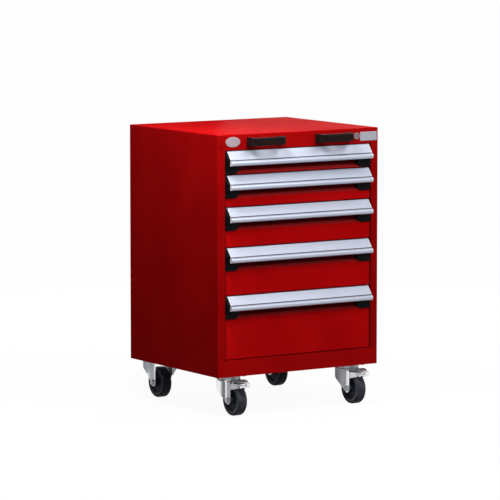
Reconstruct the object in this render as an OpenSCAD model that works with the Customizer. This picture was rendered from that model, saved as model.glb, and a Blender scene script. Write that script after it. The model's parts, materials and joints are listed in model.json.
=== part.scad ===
// Mobile drawer cabinet: folded steel housing, five drawers on telescopic roller slides, casters below.
// X runs to the right, Y to the back and Z up. The origin is on the floor, under the middle of the cabinet.
// Most places below are measured from the plane of the front posts, which lies at y = 0 until in_frame().

/* [Housing] */
// Width over the side panels
housing_w = 609.6; // [560:0.1:900]
// Depth from the front posts to the rear flanges
housing_d = 533.4; // [500:0.1:800]
// Height of the header above the drawers
header_h = 49.3; // [47:0.1:90]
// Height of the rail below the drawers
bottom_rail_h = 49.3; // [35:0.1:120]
// Sheet thickness of the housing
sheet_t = 1.5; // [1:0.1:2]
// Sheet thickness of the base that carries the casters
base_t = 3; // [2:0.1:5]
// How far the walls hang below the base
skirt_h = 3.2; // [1:0.1:5]
// Visible width of each front post
post_w = 27; // [25:0.1:40]
// Depth of the returns folded behind posts, header and rail
return_d = 18; // [10:0.1:20]
// Width of the rear flanges that hold the back panel
back_flange_w = 25; // [15:0.1:40]
// Height of the base's folded upstands
upstand_h = 30; // [15:0.1:34]
// Outside radius of the folded edges
edge_r = 3; // [2.5:0.1:5]

/* [Drawers] */
// Height module of the first drawer from the top
drawer_1_h = 76.2; // [76:0.1:200]
// Height module of the second drawer
drawer_2_h = 101.6; // [76:0.1:200]
// Height module of the third drawer
drawer_3_h = 127; // [76:0.1:250]
// Height module of the fourth drawer
drawer_4_h = 152.4; // [76:0.1:300]
// Height module of the fifth drawer
drawer_5_h = 203.2; // [76:0.1:350]
// Gap between fronts, and between the fronts and the housing above and below
front_gap = 3; // [2:0.1:4]
// Gap between a front and the posts
side_gap = 2.5; // [1.5:0.1:4]
// Setback of the fronts behind the posts
front_setback = 3; // [0:0.1:5]
// Sheet thickness of the fronts
front_t = 1.2; // [0.8:0.1:1.6]
// Depth of the edges folded behind a front
front_d = 17; // [14:0.1:22]
// Height of the returns behind a front, where it is screwed to its tray
front_return = 20; // [14:0.1:24]
// Depth of the finger recess behind a handle
recess_d = 10; // [6:0.1:12]
// Height of the finger recess
recess_h = 60; // [52:0.1:61]
// Height of the lip that leads from the recess to the face
lip_h = 12; // [6:0.1:12.5]
// Outside radius of a front's edges
front_r = 2; // [1.6:0.1:3]
// Part of a tray that stays inside the housing when it is pulled out
tray_stay = 20; // [10:0.1:26]
// Sheet thickness of the trays
tray_t = 1.2; // [0.8:0.1:2]
// Height of a tray's floor above the lower edge of its front
tray_lift = 6; // [3:0.1:10]
// Height by which a tray stays below the top of its front
tray_drop = 12; // [6:0.1:14]
// Width of the rim folded into the top of a tray
rim_w = 6; // [3:0.1:10]

/* [Slides] */
// Travel of a drawer
drawer_travel = 450; // [410:1:456]
// Sheet thickness of the rails and runners
rail_t = 2; // [1.5:0.1:3]
// Thickness of the carriage between rail and runner
carriage_t = 2.5; // [2:0.1:4]
// Length of a carriage
carriage_len = 420; // [400:0.1:430]
// Diameter of the rollers
roller_d = 21; // [18:0.1:24]
// Width of the rollers
roller_w = 7; // [5:0.1:8]
// Diameter of the roller pins
roller_pin_d = 6; // [4:0.1:8]
// Spacing of the two rollers at one end of a carriage
roller_pitch = 130; // [60:0.1:160]
// Play between rollers, carriages and channels
slide_play = 0.4; // [0.3:0.05:0.6]
// Height of the slide's middle above the lower edge of its front
slide_z = 26; // [24:0.1:30]
// Width of the slotted uprights that carry the rails
upright_w = 36; // [25:0.1:50]
// Distance from the rear uprights to the back of the cabinet
upright_back = 57; // [40:0.1:90]
// Pitch of the slots in the uprights
slot_pitch = 25.4; // [20:0.1:60]
// Width of the slots
slot_w = 8; // [4:0.1:12]
// Height of the slots
slot_h = 12; // [6:0.1:16]

/* [Drawer handles] */
// Thickness of the handle extrusion
handle_t = 2.5; // [2:0.1:3]
// Height of the slanted plate
plate_h = 26.3; // [20:0.1:28]
// Distance that the plate's lower edge stands in front of the posts
plate_out = 19.5; // [14:0.1:26]
// Thickness of the slanted plate, measured level
plate_t = 3.5; // [3:0.1:4.5]
// Height of the groove between plate and bead
groove_h = 2.2; // [1:0.1:3]
// Depth of that groove
groove_d = 2; // [1:0.1:2.4]
// Diameter of the bead that the fingers pull
bead_d = 16.9; // [14:0.1:19]
// Width of the bead's part behind its middle
bead_open = 5; // [4.6:0.1:6]
// Height of the leg that fixes the handle to the front
leg_h = 24; // [12:0.1:30]
// Thickness of the plastic end caps
cap_t = 6.8; // [4:0.1:10]
// Distance that they stay behind the handle's plate, measured level
cap_set = 8; // [4:0.1:12]
// Width of an end cap's foot
foot_w = 50.5; // [30:0.1:70]
// Distance that the foot stands in front of the face
foot_out = 3; // [1:0.1:6]
// Chamfer on the foot's inner lower corner
foot_chamfer = 12; // [4:0.1:16]

/* [Pull handles] */
// Length of a pull handle
pull_len = 130; // [110:0.1:140]
// Height of a pull handle
pull_h = 26; // [20:0.1:30]
// Distance that it stands in front of the header
pull_out = 35; // [30:0.1:45]
// Thickness of its bar
pull_bar = 11; // [8:0.1:14]
// Length of each of its feet
pull_foot = 16; // [14:0.1:22]
// Corner radius of its bow
pull_r = 12; // [8:0.1:14]
// Radius of its long edges
pull_edge_r = 5; // [2:0.1:7]
// Distance from the left side to the middle of the left handle
pull_left_inset = 173; // [150:0.1:180]
// Distance from the right side to the middle of the right handle
pull_right_inset = 178.6; // [174:0.1:190]
// Diameter of its screws
pull_screw_d = 5; // [4:0.1:6]
// Diameter of the screws' heads
pull_head_d = 9.2; // [8:0.1:10.4]

/* [Lock] */
// Distance of the lock from the right side
lock_inset = 84; // [72:0.1:93]
// Diameter of the lock's rosette
lock_ring_d = 22; // [21:0.1:26]
// Diameter of the barrel
barrel_d = 19; // [16:0.1:20]
// Length of the barrel behind the header
barrel_len = 22; // [21:0.1:26]
// Diameter of the key plug
plug_d = 12; // [8:0.1:14]
// Distance that rosette and plug stand in front of the header
lock_out = 2.4; // [1.5:0.1:4]
// Width of the key slot
key_w = 1.8; // [1:0.1:2.5]
// Height of the key slot
key_h = 8; // [5:0.1:9]
// Thickness of the cam
cam_t = 2.5; // [2:0.1:4]
// Radius at which the cam's pin turns
crank_r = 10; // [8:0.1:11]
// Diameter of the cam's pin
crank_pin_d = 5; // [4:0.1:6]
// Thickness of the lock bar
bar_t = 3; // [2:0.1:4]
// Width of the lock bar
bar_w = 15; // [10:0.1:16]
// Height of the lock bar's arm and of its yoke
yoke_h = 16; // [14:0.1:18]
// Height of a locking finger and of its catch
catch_h = 10; // [6:0.1:10.5]
// Height of the catches above the lower edge of a front
catch_z = 49; // [49:0.1:52]
// Gap between fingers and catches
catch_gap = 0.8; // [0.4:0.1:2]

/* [Casters] */
// Diameter of the wheels
wheel_d = 100; // [80:0.1:125]
// Height of the housing above the tops of the wheels
caster_head = 30; // [28:0.1:50]
// Width of the tyres
wheel_w = 32; // [24:0.1:36]
// Outside radius of the tyres' edges
tyre_r = 6; // [3:0.1:8]
// Thickness of the tyres
tyre_t = 10; // [6:0.1:14]
// Distance from the sides of the cabinet to the middle of the wheels
caster_inset_x = 77.3; // [65:0.1:120]
// Distance from the front to the swivel axes, and from the back to the rear axles
caster_inset_y = 58; // [50:0.1:90]
// Distance of a front axle before its swivel axis
trail = 36; // [25:0.1:38]
// Length of the caster plates along X
plate_x = 105; // [100:0.1:115]
// Width of the caster plates along Y
plate_y = 80; // [79:0.1:90]
// Thickness of the caster plates
plate_z = 4; // [3:0.1:5]
// Bolt spacing along X
bolt_x = 80; // [76:0.1:86]
// Bolt spacing along Y
bolt_y = 54; // [50:0.1:55]
// Diameter of the caster bolts
bolt_d = 8; // [6:0.1:8.5]
// Sheet thickness of the forks
fork_t = 3; // [2:0.1:4]
// Gap between the fork's cheeks and the tyre
fork_gap = 8; // [6:0.1:10]
// Diameter of the swivel head
head_d = 74; // [66:0.1:76]
// Diameter of the king pins
king_d = 12; // [10:0.1:14]
// Diameter of the axles
axle_d = 10; // [8:0.1:12]
// Radius of the fork's lower ends
fork_end_r = 13; // [11:0.1:16]
// Distance of the fork's back behind the swivel axis
fork_back = 50; // [38.5:0.1:60]
// Half the width of the fork's nose, which carries the pedal
nose_half = 15.5; // [14:0.1:18]
// Distance of the pedal's pivot before the swivel axis
pedal_pivot = 72; // [70:0.1:78]
// Distance of the pedal's pivot below the housing
pedal_drop = 24.5; // [23:0.1:26]
// Distance of the pedal's tip before its pivot
pedal_len = 52; // [45:0.1:60]
// Diameter of the pedal's pivot pin
pedal_pin_d = 6; // [4:0.1:7]
// Angle by which the pedal is pressed down
pedal_angle = 14; // [8:0.5:16]
// Rear edge of a rigid fork's leg, measured from the axle
rigid_back = 38; // [30:0.1:39]
// Height at which that edge starts to slant, measured from the axle
rigid_step = 28; // [20:0.1:40]
// Width of the flange along that edge
rigid_flange = 15; // [8:0.1:18]

/* [Fits] */
// Radial play of a pin or shaft that turns in its hole
run_fit = 0.06; // [0.02:0.01:0.1]
// Radial play of a bolt or bush that stays in its hole
hole_fit = 0.3; // [0.2:0.05:0.5]
// Gap between parts that pass each other
pass_gap = 0.5; // [0.3:0.1:1]
// Gap that the coating leaves between sheets that are fastened together
coat_gap = 0.1; // [0.05:0.05:0.3]

/* [Hidden] */
$fn = 64;
cut = 1;                     // how far a cutting shape runs past what it cuts

drawer_heights = [drawer_1_h, drawer_2_h, drawer_3_h, drawer_4_h, drawer_5_h];
function total(list, from) = from >= len(list) ? 0 : list[from] + total(list, from + 1);

// Heights of the housing
base_z = wheel_d + caster_head;
skirt_z = base_z - skirt_h;
rail_top_z = base_z + bottom_rail_h;
header_z = rail_top_z + front_gap + total(drawer_heights, 0);
top_z = header_z + header_h;
header_mid_z = (header_z + top_z) / 2;

// Places across the cabinet, from the middle to the right
half_w = housing_w / 2;
pull_left_x = pull_left_inset - half_w;
pull_right_x = half_w - pull_right_inset;
lock_x = half_w - lock_inset;
opening = half_w - post_w;
front_half = opening - side_gap;
rail_web_x = opening - rail_t;
rail_tip_x = rail_web_x - roller_w;
carriage_out_x = rail_tip_x - 2 * slide_play;
carriage_in_x = carriage_out_x - carriage_t;
runner_web_x = carriage_in_x - 2 * slide_play - roller_w;
runner_tip_x = runner_web_x + roller_w;
tray_half = runner_web_x - rail_t - coat_gap;

// Places from the front to the back
recess_y = front_setback + recess_d;
tray_y = front_setback + front_d;
tray_back_y = tray_y + drawer_travel + tray_stay;
cam_y = max(barrel_len, tray_y) + pass_gap;
bar_y = cam_y + cam_t + pass_gap;
catch_y = bar_y + bar_t + catch_gap;
catch_t = rail_t;
upright_y = bar_y + bar_t + slide_play;
rail_y = catch_y + catch_t + 2 * pass_gap;
rail_back_y = housing_d - upright_back;
carriage_y = rail_y + rail_t;
inside_back_y = housing_d - 2 * sheet_t;

// Slides
channel_h = roller_d + 2 * slide_play;
rail_h = channel_h + 2 * rail_t;
carriage_h = roller_d;
runner_margin = 3;           // the runner stays this far from the tray's ends

// Drawers, counted from 0 at the top
function front_z(i) = rail_top_z + front_gap + total(drawer_heights, i + 1);
function front_h(i) = drawer_heights[i] - front_gap;
function slide_mid_z(i) = front_z(i) + slide_z;

// Handle profile, seen from the right: the upper edge of the front on the post plane is [0, 0]
bead_r = bead_d / 2;
bead_mid = [-plate_out, -(plate_h + groove_h + bead_r)];
bead_bottom = plate_h + groove_h + bead_d;
neck_lap = 0.5;              // the neck reaches this far into plate and bead
foot_y = front_setback - foot_out;
lip_bottom = recess_h + lip_h;

// Lock: the pin swings from 45 degrees below the lock to 45 degrees above it and lifts the bar
crank_rise = 2 * crank_r * sin(45);
crank_side = crank_r * cos(45);
bar_x = opening + 2 * sheet_t + pass_gap;
finger_x = rail_tip_x + sheet_t;
finger_drop = crank_rise - pass_gap;
cam_rim = 2;                 // the cam's disc stands this far over the plug
bar_guide_t = 2;
bar_guide_h = 12;

// Casters
axle_z = wheel_d / 2;
plate_under_z = base_z - plate_z;
cheek_in = wheel_w / 2 + fork_gap;
cheek_out = cheek_in + fork_t;
hub_half = cheek_in - pass_gap;
rim_r = axle_z - tyre_t;
rim_set = 1;                 // the rim stays this far inside the tyre's sides
rim_half = wheel_w / 2 - rim_set;
web_half = 0.3 * wheel_w;
boss_r = 1.2 * axle_d;
hub_slope = 2;               // how far the hub's steps lean
rigid_step_z = axle_z + rigid_step;
rigid_rise = 18;             // slope of the flange above that
rigid_fold = 4;              // how far the flange's inner edge reaches below it
swivel_y = caster_inset_y;
rear_axle_y = housing_d - caster_inset_y;
wheel_x = half_w - caster_inset_x;
head_h = 10;                 // height of the fixed race below the plate
race_gap = 0.5;              // gap between the fixed race and the fork
disc_t = 3.5;                // thickness of the fork's head
disc_top_z = plate_under_z - head_h - race_gap - disc_t;
fork_back_h = 6 * disc_t;    // height of the fork's back
rib_r = 2.4 * fork_t;        // rib along the front edge of the legs
race_wall = 5;
pivot_z = base_z - pedal_drop;
pedal_reach = pedal_pivot + pedal_len;
pedal_half = nose_half - fork_t - pass_gap;
pedal_hub_r = 8;
pedal_t = 2.6;               // sheet thickness of the pedal's tabs
pedal_tip = 3;               // half the width of the pedal at its tip
lug_r = 10;                  // round end of the brake arm, about the pedal's pivot
arm_under_z = pivot_z - 1.8 * lug_r;
arm_rise = 4;                // the arm's underside rises this much to the front
bend_y = pedal_pivot - 1.4 * lug_r;   // from here to the pivot the arms come together
hex_r = bolt_d * 0.94;       // corner radius of the bolts' hexagons
hex_h = bolt_d * 0.66;
axle_hex_r = axle_d * 0.9;
axle_hex_h = axle_d * 0.6;

// The frame's origin lies halfway between the pedals' tips and the back
front_y = -(housing_d - max(pedal_reach - caster_inset_y, pull_out)) / 2;

// Colours
paint = "firebrick";
aluminium = "silver";
plastic = [0.15, 0.14, 0.14];
zinc = [0.72, 0.74, 0.76];
grey_paint = [0.75, 0.76, 0.77];
rubber = [0.17, 0.17, 0.2];

// Helpers

module in_frame() translate([0, front_y, 0]) children();

module both_sides() {
    children();
    mirror([1, 0, 0]) children();
}

// A block given by its ranges along X, Y and Z
module block(x, y, z) translate([x[0], y[0], z[0]]) cube([x[1] - x[0], y[1] - y[0], z[1] - z[0]]);

// A profile in Y and Z, drawn out along X
module along_x(x0, x1) translate([x0, 0, 0]) rotate([90, 0, 90]) linear_extrude(x1 - x0) children();

// A profile in X and Z, drawn out along Y
module along_y(y0, y1) translate([0, y1, 0]) rotate([90, 0, 0]) linear_extrude(y1 - y0) children();

// A cylinder along X or along Y
module rod_x(x0, x1, r, sides = $fn)
    translate([x0, 0, 0]) rotate([0, 90, 0]) cylinder(h = x1 - x0, r = r, $fn = sides);
module rod_y(y0, y1, r)
    translate([0, y0, 0]) rotate([-90, 0, 0]) cylinder(h = y1 - y0, r = r);

// A rectangle with round corners, centred
module round_rect(w, h, r) {
    square([w - 2 * r, h], center = true);
    square([w, h - 2 * r], center = true);
    for (x = [r - w / 2, w / 2 - r], y = [r - h / 2, h / 2 - r]) translate([x, y]) circle(r);
}

// The point where the line from p touches the circle at c, on the side given by turn (1 or -1)
function touch(c, r, p, turn) =
    let (d = p - c, a = atan2(d[1], d[0]) + turn * acos(r / norm(d)))
    c + r * [cos(a), sin(a)];

// Housing

// The outside of the folded housing, with round edges all over but below
module housing_form() {
    intersection() {
        translate([0, housing_d / 2, skirt_z])
            linear_extrude(top_z - skirt_z) round_rect(housing_w, housing_d, edge_r);
        along_x(-half_w, half_w) translate([housing_d / 2, top_z / 2]) round_rect(housing_d, top_z, edge_r);
        along_y(0, housing_d) translate([0, top_z / 2]) round_rect(housing_w, top_z, edge_r);
    }
}

module side_panel() {
    wall_z = [skirt_z, top_z - sheet_t];
    post_z = [rail_top_z, header_z];
    color(paint) intersection() {
        housing_form();
        union() {
            block([half_w - sheet_t, half_w], [0, housing_d], wall_z);
            block([opening, half_w], [0, sheet_t], post_z);
            block([opening, opening + sheet_t], [0, return_d], post_z);
            block([half_w - back_flange_w, half_w], [housing_d - sheet_t, housing_d], wall_z);
        }
    }
}

module right_side_panel() in_frame() side_panel();
module left_side_panel() in_frame() mirror([1, 0, 0]) side_panel();

module back_panel() {
    inside = half_w - sheet_t;
    color(paint) in_frame()
        block([-inside, inside], [inside_back_y, housing_d - sheet_t], [skirt_z, top_z - sheet_t]);
}

module top_panel() {
    inside = half_w - sheet_t;
    color(paint) in_frame() difference() {
        intersection() {
            housing_form();
            union() {
                block([-half_w, half_w], [0, housing_d], [top_z - sheet_t, top_z]);
                block([-inside, inside], [0, sheet_t], [header_z, top_z]);
                block([-inside, inside], [0, return_d], [header_z, header_z + sheet_t]);
            }
        }
        translate([lock_x, 0, header_mid_z]) rod_y(-cut, sheet_t + cut, barrel_d / 2 + hole_fit);
        pull_screw_places() rod_y(-cut, sheet_t + cut, pull_screw_d / 2 + hole_fit);
    }
}

module base_pan() {
    inside = half_w - sheet_t;
    up_z = [base_z, base_z + upstand_h];
    color(paint) in_frame() difference() {
        intersection() {
            housing_form();
            union() {
                block([-inside, inside], [0, inside_back_y], [base_z, base_z + base_t]);
                block([-inside, inside], [0, sheet_t], [skirt_z, rail_top_z]);
                block([-inside, inside], [0, return_d], [rail_top_z - sheet_t, rail_top_z]);
                block([-inside, inside], [inside_back_y - sheet_t, inside_back_y], up_z);
                both_sides() block([inside - sheet_t, inside], [0, inside_back_y], up_z);
            }
        }
        caster_bolt_places() cylinder(h = 2 * (base_t + cut), r = bolt_d / 2 + hole_fit, center = true);
    }
}

// Slides

// A channel open towards the wall, with a row of slots for the rails' hooks
module upright(y) {
    x = [opening, half_w - 2 * sheet_t];
    z = [base_z + base_t, top_z - sheet_t];
    slots = floor((header_z - rail_top_z - slot_h) / slot_pitch);
    difference() {
        block(x, [y, y + upright_w], z);
        block([x[0] + sheet_t, x[1] + cut], [y + sheet_t, y + upright_w - sheet_t],
            [z[0] - cut, z[1] + cut]);
        for (n = [0:slots])
            translate([x[0], y + upright_w / 2, rail_top_z + slot_h / 2 + n * slot_pitch])
                cube([3 * sheet_t, slot_w, slot_h], center = true);
    }
}

// A hook that keeps the lock bar against the upright
module bar_guide(z) {
    reach = [bar_y - slide_play - bar_guide_t, upright_y + sheet_t];
    outer = bar_x + bar_w + slide_play;
    block([outer, outer + bar_guide_t], reach, [z, z + bar_guide_h]);
    block([outer - bar_w / 3, outer + bar_guide_t], [reach[0], reach[0] + bar_guide_t],
        [z, z + bar_guide_h]);
}

module slide_uprights() color(zinc) in_frame() {
    both_sides() upright(rail_back_y - upright_w);
    mirror([1, 0, 0]) upright(upright_y);
    upright(upright_y);
    for (z = [rail_top_z + bar_guide_h, header_z - 3 * bar_guide_h]) bar_guide(z);
}

// A C-shaped rail, with folded stops at its ends
module cabinet_rail(mid_z) {
    y = [rail_y, rail_back_y];
    z = [mid_z - rail_h / 2, mid_z + rail_h / 2];
    difference() {
        block([rail_tip_x, opening], y, z);
        block([rail_tip_x - cut, rail_web_x], y + [rail_t, -rail_t], z + [rail_t, -rail_t]);
    }
}

module cabinet_rails() color(zinc) in_frame()
    for (i = [0:4]) both_sides() cabinet_rail(slide_mid_z(i));

// A roller between two faces, on a pin that is part of the carriage
module roller(x0, x1) difference() {
    rod_x(x0, x1, roller_d / 2);
    rod_x(x0 - cut, x1 + cut, roller_pin_d / 2 + run_fit);
}

// A flat bar with outer rollers at its back, in the rail, and inner rollers at its front, in the runner
module carriage(mid_z) {
    y = [carriage_y, carriage_y + carriage_len];
    end = roller_d / 2 + slide_play;
    outer = [carriage_out_x + slide_play, rail_web_x - slide_play];
    inner = [runner_web_x + slide_play, carriage_in_x - slide_play];
    block([carriage_in_x, carriage_out_x], y, [mid_z - carriage_h / 2, mid_z + carriage_h / 2]);
    for (place = [y[1] - end, y[1] - end - roller_pitch]) translate([0, place, mid_z]) {
        roller(outer[0], outer[1]);
        rod_x(carriage_in_x + slide_play, outer[1], roller_pin_d / 2);
    }
    for (place = [y[0] + end, y[0] + end + roller_pitch]) translate([0, place, mid_z]) {
        roller(inner[0], inner[1]);
        rod_x(inner[0], carriage_out_x - slide_play, roller_pin_d / 2);
    }
}

module drawer_carriages(i) color(zinc) in_frame() both_sides() carriage(slide_mid_z(i));

// Drawers

module runner(mid_z) {
    y = [tray_y + runner_margin, tray_back_y - runner_margin];
    z = [mid_z - rail_h / 2, mid_z + rail_h / 2];
    difference() {
        block([runner_web_x - rail_t, runner_tip_x], y, z);
        block([runner_web_x, runner_tip_x + cut], y + [-cut, cut], z + [rail_t, -rail_t]);
    }
}

// The catch that the lock bar's finger holds: a tab that stands out from a plate on the tray's side
module lock_catch(z0) {
    x = [tray_half + coat_gap, front_half];
    z = [z0, z0 + catch_h];
    block(x, [catch_y, catch_y + catch_t], z);
    block([x[0], x[0] + catch_t], [catch_y, catch_y + 2 * catch_h], z);
}

// An open tray with a folded rim, a runner on each side and the catch for the lock bar on the right
module drawer_tray(i) {
    x = [-tray_half, tray_half];
    y = [tray_y, tray_back_y];
    z = [front_z(i) + tray_lift, front_z(i) + front_h(i) - tray_drop];
    wall = [tray_t, -tray_t];
    rim = [rim_w, -rim_w];
    color(grey_paint) in_frame() {
        difference() {
            block(x, y, z);
            block(x + wall, y + wall, z + wall);
            block(x + rim, y + rim, [z[1] - 2 * tray_t, z[1] + cut]);
        }
        both_sides() runner(slide_mid_z(i));
        lock_catch(front_z(i) + catch_z);
    }
}

// The front seen from the right: face, lip and recess
function face_line(h) = [
    [front_setback, 0],
    [front_setback, h - lip_bottom],
    [recess_y, h - recess_h],
    [recess_y, h]
];

module drawer_front(i) {
    h = front_h(i);
    line = face_line(h);
    back = [for (n = [len(line) - 1:-1:0]) line[n] + [front_t, 0]];
    form_d = front_d + 2 * front_r;
    color(paint) in_frame() translate([0, 0, front_z(i)]) intersection() {
        union() {
            along_x(-front_half, front_half) {
                polygon(concat(line, back));
                translate([front_setback, 0]) square([front_d, front_t]);
                translate([recess_y, h - front_t]) square([tray_y - recess_y, front_t]);
                for (z = [0, h - front_return])
                    translate([tray_y - front_t, z]) square([front_t, front_return]);
            }
            both_sides() along_x(front_half - front_t, front_half)
                polygon(concat(line, [[tray_y, h], [tray_y, 0]]));
        }
        translate([0, front_setback + form_d / 2, 0])
            linear_extrude(h) round_rect(2 * front_half, form_d, front_r);
        along_x(-front_half, front_half)
            translate([front_setback + form_d / 2, h]) round_rect(form_d, 2 * h, front_r);
    }
}

module handle_profile() {
    polygon([[0, 0], [-plate_out, -plate_h], [plate_t - plate_out, -plate_h], [plate_t, 0]]);
    translate([0, -handle_t]) square([recess_y, handle_t]);
    translate([recess_y - handle_t, -leg_h]) square([handle_t, leg_h]);
    translate([groove_d - plate_out, -(plate_h + groove_h + handle_t)])
        square([handle_t, groove_h + handle_t + neck_lap]);
    difference() {
        translate(bead_mid) circle(bead_r);
        translate(bead_mid + [bead_open, -bead_d]) square(2 * bead_d);
    }
}

module drawer_handle(i) {
    half = front_half - cap_t;
    color(aluminium) in_frame() translate([0, 0, front_z(i) + front_h(i)])
        along_x(-half, half) handle_profile();
}

// An end cap stays behind the handle's plate and bead, and has a foot that fills the end of the recess
module end_cap_profile() polygon([[recess_y, -handle_t], [cap_set, -handle_t],
    [cap_set - plate_out, -plate_h], [cap_set - plate_out, -bead_bottom], [foot_y, -bead_bottom - cap_t],
    [foot_y, -lip_bottom], [front_setback, -lip_bottom], [recess_y, -recess_h]]);

module foot_profile() polygon([[foot_y, -bead_bottom], [recess_y, -bead_bottom], [recess_y, -recess_h],
    [front_setback, -lip_bottom], [foot_y, -lip_bottom]]);

module foot_outline() polygon([[front_half, -bead_bottom], [front_half - foot_w, -bead_bottom],
    [front_half - foot_w, foot_chamfer - lip_bottom], [front_half - foot_w + foot_chamfer, -lip_bottom],
    [front_half, -lip_bottom]]);

module drawer_end_caps(i) color(plastic) in_frame()
    translate([0, 0, front_z(i) + front_h(i)]) both_sides() {
        along_x(front_half - cap_t, front_half) end_cap_profile();
        intersection() {
            along_x(front_half - foot_w, front_half) foot_profile();
            along_y(foot_y - cut, recess_y + cut) foot_outline();
        }
    }

// Pull handles

module pull_screw_places() for (x = [pull_left_x, pull_right_x], end = [-1, 1])
    translate([x + end * (pull_len - pull_foot) / 2, 0, header_mid_z]) children();

// A bow seen from above, its round corners to the front
module bow_outline(w, reach, r) intersection() {
    round_rect(w, 2 * reach, r);
    translate([-w / 2, -reach]) square([w, reach]);
}

module pull_handle(x) {
    inner_r = pull_r * 2 / 3;
    seat = pull_head_d / 2 + hole_fit;
    color(plastic) in_frame() difference() {
        translate([x, 0, header_mid_z]) intersection() {
            translate([0, 0, -pull_h / 2]) linear_extrude(pull_h) difference() {
                bow_outline(pull_len, pull_out, pull_r);
                bow_outline(pull_len - 2 * pull_foot, pull_out - pull_bar, inner_r);
            }
            along_x(-pull_len / 2, pull_len / 2) round_rect(2 * pull_out, pull_h, pull_edge_r);
        }
        pull_screw_places() {
            rod_y(-pull_out, cut, pull_screw_d / 2 + hole_fit);
            rod_y(-pull_out - cut, -pull_out + pull_bar / 2, seat);
        }
    }
}

module left_pull_handle() pull_handle(pull_left_x);
module right_pull_handle() pull_handle(pull_right_x);

module pull_handle_screws() color(zinc) in_frame() pull_screw_places() {
    head_y = -pull_out + pull_bar / 2;
    rod_y(head_y - pull_screw_d / 2, head_y, pull_head_d / 2);
    rod_y(head_y - cut, sheet_t + pull_screw_d, pull_screw_d / 2);
}

// Lock

module at_lock() in_frame() translate([lock_x, 0, header_mid_z]) children();

module lock_cylinder() color(zinc) at_lock() difference() {
    union() {
        rod_y(-lock_out, 0, lock_ring_d / 2);
        rod_y(-cut / 2, barrel_len, barrel_d / 2);
    }
    rod_y(-lock_out - cut, barrel_len + cut, plug_d / 2 + run_fit);
}

module lock_plug() color(zinc) at_lock() difference() {
    rod_y(-lock_out, cam_y, plug_d / 2);
    block([-key_w / 2, key_w / 2], [-lock_out - cut, barrel_len / 2], [-key_h / 2, key_h / 2]);
}

module lock_cam() color(zinc) at_lock() {
    pin = [crank_side, -crank_side];
    along_y(cam_y, cam_y + cam_t) {
        circle(plug_d / 2 + cam_rim);
        translate(pin) circle(crank_pin_d);
    }
    translate([pin[0], 0, pin[1]]) rod_y(cam_y, bar_y + bar_t + pass_gap, crank_pin_d / 2);
}

// A strip behind the right post, with an arm for the yoke of the cam's pin and a finger for each drawer
module lock_bar() color(zinc) in_frame() {
    y = [bar_y, bar_y + bar_t];
    pin_x = lock_x + crank_side;
    pin_z = header_mid_z - crank_side;
    slot_half = crank_pin_d / 2 + 2 * pass_gap;
    reach = crank_r - crank_side;
    difference() {
        union() {
            block([bar_x, bar_x + bar_w], y, [rail_top_z, pin_z + yoke_h / 2]);
            block([pin_x - yoke_h / 2, bar_x + bar_w], y, [pin_z - yoke_h / 2, pin_z + yoke_h / 2]);
        }
        block([pin_x - slot_half, pin_x + reach + slot_half], y + [-cut, cut],
            [pin_z - crank_pin_d / 2 - pass_gap, pin_z + crank_pin_d / 2 + pass_gap]);
    }
    for (i = [0:4]) {
        z = front_z(i) + catch_z - finger_drop;
        block([finger_x, bar_x - coat_gap], y, [z, z + catch_h]);
    }
}

// Casters

module front_caster_places() for (x = [-wheel_x, wheel_x]) translate([x, swivel_y, 0]) children();
module rear_caster_places() for (x = [-wheel_x, wheel_x]) translate([x, rear_axle_y, 0]) children();

module bolt_pattern() for (x = [-bolt_x / 2, bolt_x / 2], y = [-bolt_y / 2, bolt_y / 2])
    translate([x, y, 0]) children();

module caster_bolt_places() {
    front_caster_places() bolt_pattern() translate([0, 0, base_z]) children();
    rear_caster_places() bolt_pattern() translate([0, 0, base_z]) children();
}

module caster_bolts() color(zinc) in_frame() caster_bolt_places() {
    translate([0, 0, -plate_z - hex_h]) cylinder(h = hex_h, r = hex_r, $fn = 6);
    translate([0, 0, -plate_z - hex_h]) cylinder(h = hex_h + plate_z + base_t + 2 * hex_h, d = bolt_d);
    translate([0, 0, base_t]) cylinder(h = 1.2 * hex_h, r = hex_r, $fn = 6);
}

// The plate of a caster with its bolt holes
module caster_plate() difference() {
    translate([0, 0, plate_under_z]) linear_extrude(plate_z) round_rect(plate_x, plate_y, plate_z);
    bolt_pattern() translate([0, 0, plate_under_z - cut])
        cylinder(h = plate_z + 2 * cut, r = bolt_d / 2 + hole_fit);
}

// The fixed plate with the upper race, a cup that covers the fork's lower race
module front_caster_plates() color(zinc) in_frame() front_caster_places() difference() {
    union() {
        caster_plate();
        translate([0, 0, plate_under_z - head_h]) cylinder(h = head_h, d = head_d);
    }
    translate([0, 0, plate_under_z - head_h - cut])
        cylinder(h = head_h - fork_t + cut, r = head_d / 2 - race_wall);
    translate([0, 0, plate_under_z - head_h - cut])
        cylinder(h = head_h + plate_z + 2 * cut, r = king_d / 2 + run_fit);
}

// A king pin hangs in the plate and holds the fork from below with its nut
module king_pins() color(zinc) in_frame() front_caster_places() {
    nut_top = disc_top_z - disc_t - slide_play;
    nut_h = king_d * 0.6;
    translate([0, 0, nut_top - nut_h]) cylinder(h = base_z - nut_top + nut_h, d = king_d);
    translate([0, 0, nut_top - nut_h]) cylinder(h = nut_h, r = king_d * 0.95, $fn = 6);
}

// A front fork around its swivel axis, with the wheel in front of it

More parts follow.
